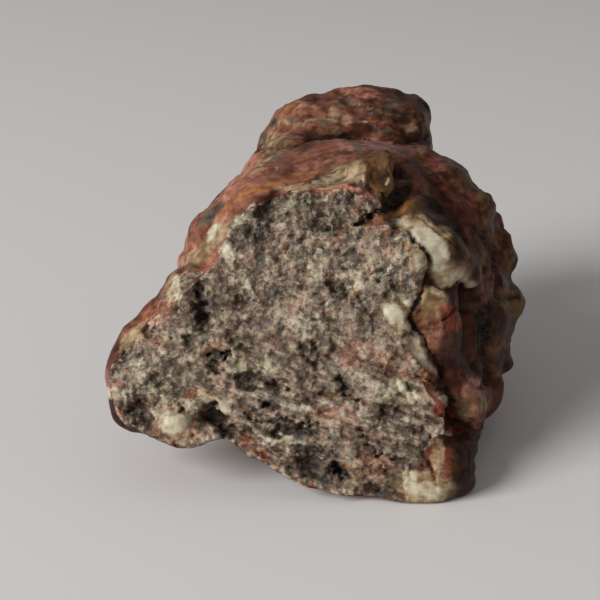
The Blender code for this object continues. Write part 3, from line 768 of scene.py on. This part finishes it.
SMOKE_MARKS = {
    # Painted reflection of the lamp on the dark window.
    "painted window reflection": (21.4, 14.6, 1.8, 0.7, -30, 0.6),
    "green edge": (-15, 13.8, 0.9, 2.2, -32, 0.9),
    "green edge top": (-13.8, 15.6, 0.8, 1.4, -35, 0.7),
    "left band": (-28.3, -6.6, 2, 0.8, 45, 0.35),
    "band spot": (9.6, 25.2, 0.9, 0.7, 0, 0.75),
    "band edge": (12.4, 24.5, 1.5, 0.7, 10, 0.5),
    "knob corner": (20.3, 32.2, 1, 1.1, 0, 0.35),
    "knob crown": (15.7, 32.7, 1.7, 1, 0, 0.6),
    "knob pit": (4.2, 29.8, 1.3, 0.6, -30, 0.7),
    "knob west pit": (-4.6, 29.6, 1, 0.6, 30, 0.9),
    "knob mid pit": (-1, 29.8, 1.4, 0.5, -15, 0.7),
    "knob north pit": (3.2, 33.2, 1, 0.5, -20, 0.6),
    "knob east pit": (9.4, 30.2, 1.2, 0.5, -30, 0.6),
    "knob west edge": (-6.4, 26.9, 0.8, 1.4, 0, 0.7),
    "knob top": (7.6, 33.5, 1.6, 0.8, 0, 0.6),
    "knob low": (14, 28, 1.2, 0.8, 0, 0.5),
    "vein net": (-3.9, 24.4, 1.6, 0.8, 40, 0.5),
}
# Umber: the stone's own dark brown in the window and the mass, and painted shade on the ledge's flank, the gap
# behind it, the lobe's foot and down the stone's right side.
UMBER_AND_SHADE_MARKS = {
    "window": (22.6, 14.6, 3.6, 1.6, -36),
    "gap": (17.6, 18, 2.4, 1.2, 42),
    "window foot": (26.6, 10.8, 2.2, 1.3, -55),
    "mottle": (26.2, 8.6, 1.9, 2.8, -10, 0.75),
    "mottle edge": (28.8, 7.4, 1.4, 4, -5, 0.6),
    "mottle low": (25.6, 6.2, 1.8, 0.7, -15, 0.5),
    "apron foot": (28.2, 1.4, 1.6, 0.9, 0, 0.7),
    "ledge flank": (16.8, 21.2, 1.3, 2.2, -38, 0.7),
    "ledge": (13.4, 20.6, 1.5, 2.2, -10, 0.7),
    "ledge inner edge": (11.5, 20.6, 0.5, 2.4, -6, 0.8),
    "ledge foot": (14, 17, 1, 1.6, -10, 0.7),
    "ledge side": (15.6, 20, 0.5, 2.2, 5, 0.5),
    "mass upper": (31, 10.4, 1.4, 4.4, -25, 0.45),
    "mass fold": (27.4, 14.4, 0.8, 3, -50, 0.5),
    "mass hollow": (31.4, -4.4, 2.8, 3.4, 0, 0.8),
    "mass low": (30.6, -11, 1.6, 3.4, 15, 0.6),
    "lobe edge": (26.6, -7.4, 1.2, 4.2, 8, 0.75),
    "lobe facet": (24.2, -8.6, 2.2, 2.4, 0, 0.5),
    "under lobe": (24.2, -13.4, 2.2, 0.8, -20, 0.8),
    "pocket": (21.8, -17.6, 1.2, 2.6, 0, 0.6),
    "corner side": (27.6, -27.2, 2.6, 5.6),
    "corner side low": (26.2, -32.4, 2.4, 1.6, 30, 0.6),
    "knob east": (15, 31, 4.2, 1.4, -12, 0.6),
    "knob east low": (12.6, 28.4, 3.8, 0.9, -8, 0.5),
    "knob mid streak": (8.6, 31.8, 0.6, 2.6, 25, 0.5),
    "knob low streak": (2, 28, 3.4, 0.5, -14, 0.5),
    "lobe rim": (27, -1, 0.7, 3.4, 5, 0.6),
    "lobe foot": (23.2, -10.6, 0.6, 2.4, 35, 0.6),
    "knob corner": (20.4, 32.6, 1.4, 1.6, 0, 0.7),
    "knob foot": (7, 27.4, 8, 0.6, 3, 0.7),
    "knob crown": (16.4, 34.2, 2.8, 0.8, -10, 0.5),
    "knob west edge": (-7.2, 28.2, 0.7, 2.6, -30, 0.6),
    "knob west top": (-2.6, 33.2, 2.4, 0.6, 25, 0.5),
    "streak foot": (9.2, 22.8, 4.6, 0.4, 14, 0.4),
}
ROSE_MARKS = {
    # The lobe's rose is the stone's own pink, with a painted highlight on its top.
    "lobe top": (28.4, -14.2, 1.6, 1.2, 20, 0.6),
    "lobe west": (27.4, -17.4, 1.8, 1.9, 0, 0.4),
    "lobe east": (29.6, -16.4, 1.2, 2.4, 0, 0.45),
    "lobe foot": (28.2, -19, 2, 1, 0, 0.45),
    # The band's rose along its top is partly a painted sheen.
    "band": (9, 25.6, 4, 0.8, -3, 0.8),
    "band east": (13.2, 25.6, 3.4, 0.8, -6, 0.8),
    "band south": (3.4, 23, 4.2, 0.7, 14, 0.5),
    "left band": (-22.6, -2.6, 3, 1.2, 48, 0.6),
    "left band foot": (-24.8, -5.2, 1.8, 1.2, 48, 0.5),
    "far left": (-30.4, -14.4, 1.6, 1.2, 0, 0.7),
    "far left edge": (-32.2, -13.2, 0.7, 1.6, 0, 0.7),
    "left fleck": (-24.8, -7.4, 1.7, 0.9, 0, 0.5),
    "purple facet": (22.2, -8, 2.6, 2.2, 0, 0.2),
    "lower mass": (24, -19.6, 1.3, 0.9, 0, 0.3),
    "lower edge": (-7.6, -24.4, 3.4, 1.4, -40, 0.6),
}
BRICK_MARKS = {
    "band west": (-3.4, 22.2, 5, 2.6, 18),
    "band mid": (5, 24, 6, 2.4, 12),
    "band east": (14, 25.4, 5, 2, -8),
    "knob west": (-3, 30, 5, 4.5, 20),
    "knob mid": (6, 31.5, 5, 4, 0, 0.9),
    "knob east": (15.5, 31, 5, 4, 0, 0.45),
    "left band": (-24, -3, 9, 4, 48, 0.7),
    "upper left": (-16, 11, 8, 4.5, 52),
    "west slope": (-9, 20, 6, 4, 40),
    "lower edge": (-20, -23.6, 9, 1.6, 0, 0.8),
    "rose lobe": (28.6, -16.8, 3.4, 4.4, 15, 0.7),
    "tan lobe": (22.6, -4.4, 3.2, 5, 0, 0.6),
    "corner": (22, -29.5, 5, 4.4, 0, 0.4),
    "mass top": (22.4, 23.4, 4.4, 2.4, -25, 0.5),
    "mass shoulder": (27, 18, 4, 2.2, -48, 0.46),
    "cavity floor": (19, 18.6, 2.6, 2.2, 0, 0.8),
    "mottle": (27.4, 8, 2.8, 4.2, 0, 0.85),
    "mass east": (31.6, 11.6, 1.8, 4.4, 22, 0.5),
    "mass middle": (31, 3, 2.2, 4, 0, 0.5),
    "mass low": (30.4, -9.6, 1.8, 2.6, 0, 0.55),
}

# On the sides that turn away from the break the same minerals come and go in broad drifts of their own.

away = 1.0 - seen
wide = clouds(15.0, 15, 1.8)
fine = clouds(3.2, 17, 1.6)
grainy = clouds(1.5, 29, 2.0)
vein = ramp(0.075, 0.0, np.abs(clouds(12.0, 30, 1.7) + 0.12 * fine)) * ramp(-0.1, 0.3, clouds(9.0, 31))


def drifts(size, seed, low, high):
    """Where a mineral drifts over the sides that turn away, drawn out into the stone's depth."""
    return away * ramp(low, high, clouds(size, seed, 2.2) + 0.22 * fine + 0.12 * grainy)


# Painted shadow of the ledge on the hollow behind it, laid into the hollow shade with the deep holes and the
# cracks.
ledge_shadow = patch(15.6, 16.8, 2.6, 1.0, 38) * ramp(0.5, 2.0, place[:, 1]) * ramp(17.0, 12.0, place[:, 1])
deep_hollow = ramp(1.6, 2.9, hollow_depth)
minerals = {
    "cream": strongest(patches(CREAM_MARKS), stripes(CREAM_LINES)) + away * vein * 0.7,
    "soot": strongest(patches(HOLLOW_SHADE_MARKS), ledge_shadow, deep_hollow, crack),
    "shade": strongest(patches(SHADE_MARKS), hollow * 0.8),
    "scarlet": patches(SCARLET_MARKS) + drifts(6.0, 16, 0.45, 0.7) * 0.6,
    "salmon": patches(SALMON_MARKS) + drifts(10.0, 18, 0.15, 0.55) * 0.75,
    "olive": patches(OLIVE_MARKS),
    "orange": strongest(patches(ORANGE_MARKS), stripes(ORANGE_LINES)) + drifts(8.0, 19, 0.3, 0.6) * 0.7,
    "tan": strongest(patches(TAN_MARKS), 0.75 * stripes(TAN_LINES)) + drifts(9.5, 27, 0.25, 0.6) * 0.7,
    "amber": patches(AMBER_MARKS) + drifts(9.0, 20, 0.15, 0.5) * 0.8,
    "smoke": patches(SMOKE_MARKS) + drifts(7.0, 21, 0.35, 0.65) * 0.6,
    "umber": patches(UMBER_AND_SHADE_MARKS) + drifts(8.0, 32, 0.1, 0.45) * 0.6,
    "rose": patches(ROSE_MARKS) + drifts(8.5, 22, 0.2, 0.55) * 0.7,
    "brick": patches(BRICK_MARKS) + away * ramp(-0.35, 0.35, wide + 0.25 * fine),
    "bedded": bedded,
    "broken": broken,
    # The break's height, which the finish turns into painted shade where it lies low.
    "rise": np.clip(0.5 + 0.6 * (break_rise + 0.45 * hollow_depth), 0.0, 1.0),
    "pitted": strongest(skin_pits * roughened, wrinkles ** 6 * roughened * 0.5),
}
for name, values in minerals.items():
    layer = stone.data.attributes.new(name, "FLOAT", "POINT")
    layer.data.foreach_set("value", values)
where = stone.data.attributes.new("place", "FLOAT_VECTOR", "POINT")
where.data.foreach_set("vector", place.reshape(-1))

# The finish: colours of the minerals, as dark and light shades that the grain runs between.

CREAM = ((0.37, 0.31, 0.205), (0.61, 0.57, 0.445))
# Painted shade for the holes, cracks and the hollow behind the ledge.
HOLLOW_SHADE = ((0.01, 0.008, 0.0075), (0.088, 0.066, 0.052))
SCARLET = ((0.11, 0.021, 0.012), (0.38, 0.08, 0.042))
SALMON = ((0.22, 0.075, 0.045), (0.5, 0.24, 0.16))
ORANGE = ((0.17, 0.054, 0.022), (0.4, 0.17, 0.075))
OLIVE = ((0.115, 0.098, 0.068), (0.47, 0.42, 0.3))
TAN = ((0.15, 0.09, 0.046), (0.44, 0.33, 0.195))
AMBER = ((0.06, 0.026, 0.009), (0.19, 0.1, 0.036))
SMOKE = ((0.036, 0.029, 0.021), (0.13, 0.11, 0.08))
# Dark brown, used both for the stone's own umber and for painted shade.
UMBER_AND_SHADE = ((0.01, 0.0045, 0.0025), (0.07, 0.029, 0.014))
ROSE = ((0.15, 0.052, 0.038), (0.4, 0.205, 0.16))
BRICK = ((0.11, 0.034, 0.02), (0.27, 0.115, 0.072))
JASPER = ((0.024, 0.007, 0.004), (0.11, 0.032, 0.018))
PIT_SHADE = (0.018, 0.012, 0.01)
DUSK = (0.055, 0.028, 0.02)

GRAIN_STOPS = (
    (0.3, (0.052, 0.035, 0.025)),
    (0.41, (0.132, 0.094, 0.068)),
    (0.5, (0.24, 0.18, 0.132)),
    (0.6, (0.345, 0.282, 0.214)),
    (0.74, (0.56, 0.52, 0.425)),
)
SHADE_STOPS = (
    (0.31, (0.027, 0.018, 0.013)),
    (0.41, (0.064, 0.045, 0.033)),
    (0.51, (0.126, 0.095, 0.071)),
    (0.6, (0.222, 0.18, 0.135)),
    (0.7, (0.42, 0.38, 0.305)),
)
GRAIN_BLUSH = ((0.19, 0.095, 0.066), (0.47, 0.27, 0.21))
GRAIN_OLIVE = ((0.16, 0.145, 0.098), (0.45, 0.42, 0.285))
GRAIN_SLATE = (0.105, 0.108, 0.112)
GRAIN_RUST = (0.26, 0.115, 0.045)
GRAIN_PALE = (0.6, 0.57, 0.46)
FLOW_RISE = math.radians(-18.0)
SHEEN = 0.07
GLAZE_ROUGHNESS = 0.22
BREAK_ROUGHNESS = 0.88
RELIEF = {"Strength": 0.55, "Distance": 0.35 * MM}


class Wire:
    """A socket in a finish. Arithmetic on it adds Math nodes, and add() makes any other node."""

    def __init__(self, tree, socket=None):
        self.tree = tree
        self.socket = socket

    def add(self, kind, settings, sockets, output=0):
        node = self.tree.nodes.new(kind)
        for name, value in settings.items():
            if name == "stops":
                self.set_stops(node.color_ramp.elements, value)
            else:
                setattr(node, name, value)
        for name, value in sockets.items():
            if isinstance(value, Wire):
                self.tree.links.new(value.socket, node.inputs[name])
            else:
                node.inputs[name].default_value = value
        return Wire(self.tree, node.outputs[output])

    def set_stops(self, elements, stops):
        while len(elements) < len(stops):
            elements.new(1.0)
        for element, (position, colour) in zip(list(elements), stops):
            element.position = position
            element.color = (*colour, 1.0)

    def math(self, operation, *values):
        return self.add("ShaderNodeMath", {"operation": operation}, dict(enumerate(values)))

    def mix(self, share, under, over):
        rgba = [(*colour, 1.0) if isinstance(colour, tuple) else colour for colour in (under, over)]
        settings = {"data_type": "RGBA", "clamp_factor": True}
        return self.add("ShaderNodeMix", settings, {0: share, 6: rgba[0], 7: rgba[1]}, 2)

    def eased(self, low, high):
        sockets = {"Value": self, "From Min": low, "From Max": high}
        return self.add("ShaderNodeMapRange", {"interpolation_type": "SMOOTHSTEP"}, sockets)

    def size_of(self):
        return self.math("ABSOLUTE", self)

    def __add__(self, other):
        return self.math("ADD", self, other)

    def __sub__(self, other):
        return self.math("SUBTRACT", self, other)

    def __rsub__(self, other):
        return self.math("SUBTRACT", other, self)

    def __mul__(self, other):
        return self.math("MULTIPLY", self, other)

    __radd__ = __add__
    __rmul__ = __mul__


finish = bpy.data.materials.new("stone")
finish.use_nodes = True
shader = finish.node_tree.nodes["Principled BSDF"]
shader.inputs["Specular IOR Level"].default_value = SHEEN
shader.inputs["Coat Roughness"].default_value = GLAZE_ROUGHNESS
wire = Wire(finish.node_tree)
spot = wire.add("ShaderNodeAttribute", {"attribute_name": "place"}, {}, "Vector")


def mineral(name):
    return wire.add("ShaderNodeAttribute", {"attribute_name": name}, {}, "Fac")


def speckle(size, detail=2.0, roughness=0.55, over=spot):
    """Noise from 0 to 1 with grains about size millimetres across."""
    sockets = {"Vector": over, "Scale": 1.0 / size, "Detail": detail, "Roughness": roughness}
    return wire.add("ShaderNodeTexNoise", {}, sockets, "Fac")


def drawn_out(dip, length, breadth):
    """The place with its grain drawn out sideways, dipping to the right by an angle."""
    sockets = {"Vector": spot, "Rotation": (0, dip, 0), "Scale": (length, breadth, breadth)}
    return wire.add("ShaderNodeMapping", {"vector_type": "TEXTURE"}, sockets, "Vector")


grit = speckle(0.75, 3.0, 0.7)
mottle = speckle(2.2, 3.0, 0.6)
broad = speckle(6.0, 2.0)
edge_noise = speckle(1.1, 4.0, 0.65)


def laid_over(colour, name, shades, tone, edge, amount=1.0):
    """A mineral's own colours laid over what is under it, with a ragged edge to its mark."""
    cover = (mineral(name) + (edge_noise - 0.5) * 0.7).eased(0.5 - edge, 0.5 + edge) * amount
    return wire.mix(cover, colour, wire.mix(tone, *shades))


flow = speckle(1.3, 3.0, 0.52, drawn_out(FLOW_RISE, 2.4, 1.0))
tone = (mottle * 0.58 + grit * 0.12 + flow * 0.3).eased(0.36, 0.64)
skin_colour = wire.mix((broad * 0.4 + mottle * 0.3 + flow * 0.3).eased(0.42, 0.60), *JASPER)
skin_colour = laid_over(skin_colour, "brick", BRICK, tone, 0.35)
dusk = (flow * 0.5 + edge_noise * 0.5).eased(0.48, 0.36) * 0.35
skin_colour = wire.mix(dusk, skin_colour, DUSK)
for name, shades in (("rose", ROSE), ("salmon", SALMON), ("tan", TAN), ("amber", AMBER), ("umber", UMBER_AND_SHADE),
                     ("orange", ORANGE), ("smoke", SMOKE), ("cream", CREAM), ("scarlet", SCARLET)):
    skin_colour = laid_over(skin_colour, name, shades, tone, 0.35)
skin_colour = wire.mix(mineral("pitted") * 0.6, skin_colour, PIT_SHADE)


def fragments(over, size):
    """Torn cells about size millimetres across, each with a colour of its own to draw chances from."""
    torn = wire.add("ShaderNodeTexNoise", {}, {"Vector": over, "Scale": 0.9 / size, "Detail": 3.0}, "Color")
    sockets = {0: torn, 1: (2.4 * size, 2.4 * size, 2.4 * size), 2: over}
    warped = wire.add("ShaderNodeVectorMath", {"operation": "MULTIPLY_ADD"}, sockets)
    return wire.add("ShaderNodeTexVoronoi", {}, {"Vector": warped, "Scale": 1.0 / size}, "Color")


def chance(cells, channel):
    return wire.add("ShaderNodeSeparateColor", {}, {"Color": cells}, channel)


bed_cells = fragments(drawn_out(BED_DIP, 2.6, 1.0), 0.8)
cells = wire.mix(mineral("bedded") * 0.75, fragments(spot, 0.95), bed_cells)
red, green, blue = (chance(cells, channel) for channel in ("Red", "Green", "Blue"))
grains = speckle(0.5, 2.0, 0.7) * 0.20 + speckle(1.3, 3.0, 0.65) * 0.29 + speckle(3.4, 3.0, 0.6) * 0.33
grains = grains + red * 0.18
flecks = (speckle(1.4, 3.0, 0.6) - 0.5).size_of().eased(0.04, 0.0)
fissures = (speckle(2.2, 4.0, 0.62) - 0.5).size_of().eased(0.04, 0.0)
grains = grains + flecks * 0.08 - fissures * 0.10
bed_grain = speckle(1.1, 3.0, 0.6, drawn_out(BED_DIP, 4.0, 1.0))
grains = grains + (bed_grain * 0.62 - grains * 0.25 - 0.185) * mineral("bedded")
# Painted shade: the break's grain is darker where its surface lies low or sinks into a hole.
grains = grains + mineral("rise") * 0.26 - 0.13
shade_cover = (mineral("shade") + (edge_noise - 0.5) * 1.3).eased(0.25, 0.95)
lit_grains = wire.add("ShaderNodeValToRGB", {"stops": GRAIN_STOPS}, {"Fac": grains}, "Color")
shaded_grains = wire.add("ShaderNodeValToRGB", {"stops": SHADE_STOPS}, {"Fac": grains}, "Color")
break_colour = wire.mix(shade_cover * 0.95, lit_grains, shaded_grains)
tint = speckle(2.4, 3.0) * 0.7 + green * 0.3
blush = tint.eased(0.52, 0.66) * 0.75
olive = (1 - tint).eased(0.5, 0.64) * 0.55
unshaded = 1 - shade_cover * 0.6
lit = grains.eased(0.40, 0.52) * grains.eased(0.72, 0.58) * unshaded
grain_tone = grains.eased(0.40, 0.62)
break_colour = wire.mix(blush * lit, break_colour, wire.mix(grain_tone, *GRAIN_BLUSH))
break_colour = wire.mix(olive * lit, break_colour, wire.mix(grain_tone, *GRAIN_OLIVE))
slate = speckle(1.9, 3.0, 0.6) * 0.6 + green * 0.4
break_colour = wire.mix(slate.eased(0.56, 0.66) * grains.eased(0.56, 0.44) * 0.55, break_colour, GRAIN_SLATE)
break_colour = wire.mix(blue.eased(0.90, 0.96) * 0.5, break_colour, GRAIN_RUST)
break_colour = wire.mix((1 - blue).eased(0.93, 0.98) * 0.45, break_colour, GRAIN_PALE)
mark_tone = grains.eased(0.40, 0.58)
for name, shades, share in (("olive", OLIVE, 0.6), ("rose", ROSE, 0.6), ("salmon", SALMON, 0.75),
                            ("orange", ORANGE, 0.75), ("tan", TAN, 0.6), ("cream", CREAM, 0.85),
                            ("scarlet", SCARLET, 0.8)):
    break_colour = laid_over(break_colour, name, shades, mark_tone, 0.3, share * unshaded)

broken_cover = (mineral("broken") + (edge_noise - 0.5) * 0.5).eased(0.35, 0.65)
colour = wire.mix(broken_cover, skin_colour, break_colour)
# Painted shade laid over everything: holes, cracks and the hollow behind the ledge go dark.
hollow_shade_cover = (mineral("soot") + (edge_noise - 0.5) * 0.8 - grains.eased(0.42, 0.58) * 0.4).eased(0.2, 0.9)
colour = wire.mix(hollow_shade_cover, colour, wire.mix(grit.eased(0.4, 0.7), *HOLLOW_SHADE))

skin_rough = 0.34 + mottle * 0.26
rough = skin_rough + (BREAK_ROUGHNESS - skin_rough) * broken_cover
glaze = (mineral("rose") * 0.3 + 0.05) * (1 - broken_cover)
fine_relief = (grit * 0.6 + grains * 0.8) * broken_cover + mottle * (1 - broken_cover) * 0.35
bump = wire.add("ShaderNodeBump", {}, {"Height": fine_relief, **RELIEF}, "Normal")
for name, value in {"Base Color": colour, "Roughness": rough, "Coat Weight": glaze, "Normal": bump}.items():
    wire.tree.links.new(value.socket, shader.inputs[name])

stone.data.materials.clear()
stone.data.materials.append(finish)
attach(stone, "root")
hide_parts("stone")

# ----------------------------------------
# The studio: a wide sheet of pale paper that the stone rests on, one round soft window light high on the
# left, the dim light of a white room, and a camera that looks square on to the break.
# ----------------------------------------

PAPER_REACH = 3.0
PAPER_COLOUR = (0.76, 0.75, 0.745, 1)
PAPER_ROUGHNESS = 0.9
ROOM_COLOUR = (1.0, 0.975, 0.965, 1)
ROOM_STRENGTH = 0.24
WINDOW_PLACE = Vector((-1.25, -0.95, 0.80))
WINDOW_SIZE = 1.0
WINDOW_POWER = 33.0
WINDOW_COLOUR = (1.0, 0.985, 0.96)
STONE_MIDDLE = Vector((0, 0, 0.025))
SENSOR_WIDTH = 36.0
PICTURE_WIDTH = 100.0
NEAREST = 0.01

sheet_mesh = bpy.data.meshes.new("floor")
mesh = bmesh.new()
bmesh.ops.create_grid(mesh, x_segments=1, y_segments=1, size=PAPER_REACH)
mesh.to_mesh(sheet_mesh)
mesh.free()
sheet = placed("floor", sheet_mesh)
paper = bpy.data.materials.new("paper")
paper.use_nodes = True
surface = paper.node_tree.nodes["Principled BSDF"].inputs
surface["Base Color"].default_value = PAPER_COLOUR
surface["Roughness"].default_value = PAPER_ROUGHNESS
sheet.data.materials.append(paper)

room = bpy.data.worlds.new("room")
room.use_nodes = True
backdrop = room.node_tree.nodes["Background"].inputs
backdrop["Color"].default_value = ROOM_COLOUR
backdrop["Strength"].default_value = ROOM_STRENGTH
bpy.context.scene.world = room

lamp = bpy.data.lights.new("window", "AREA")
lamp.shape = "DISK"
lamp.size = WINDOW_SIZE
lamp.energy = WINDOW_POWER
lamp.color = WINDOW_COLOUR
window = placed("window", lamp)
window.location = WINDOW_PLACE
window.rotation_euler = (STONE_MIDDLE - WINDOW_PLACE).to_track_quat("-Z", "Y").to_euler()

camera = placed("camera", bpy.data.cameras.new("camera"))
camera.data.sensor_width = SENSOR_WIDTH
camera.data.lens = SENSOR_WIDTH * EYE_DISTANCE / PICTURE_WIDTH
camera.data.clip_start = NEAREST
camera.location = face_to_world @ Vector((0, -EYE_DISTANCE * MM, 0))
camera.rotation_euler = (math.radians(90.0) - FACE_LEAN, 0, 0)
bpy.context.scene.camera = camera
bpy.context.scene.view_settings.view_transform = "Standard"
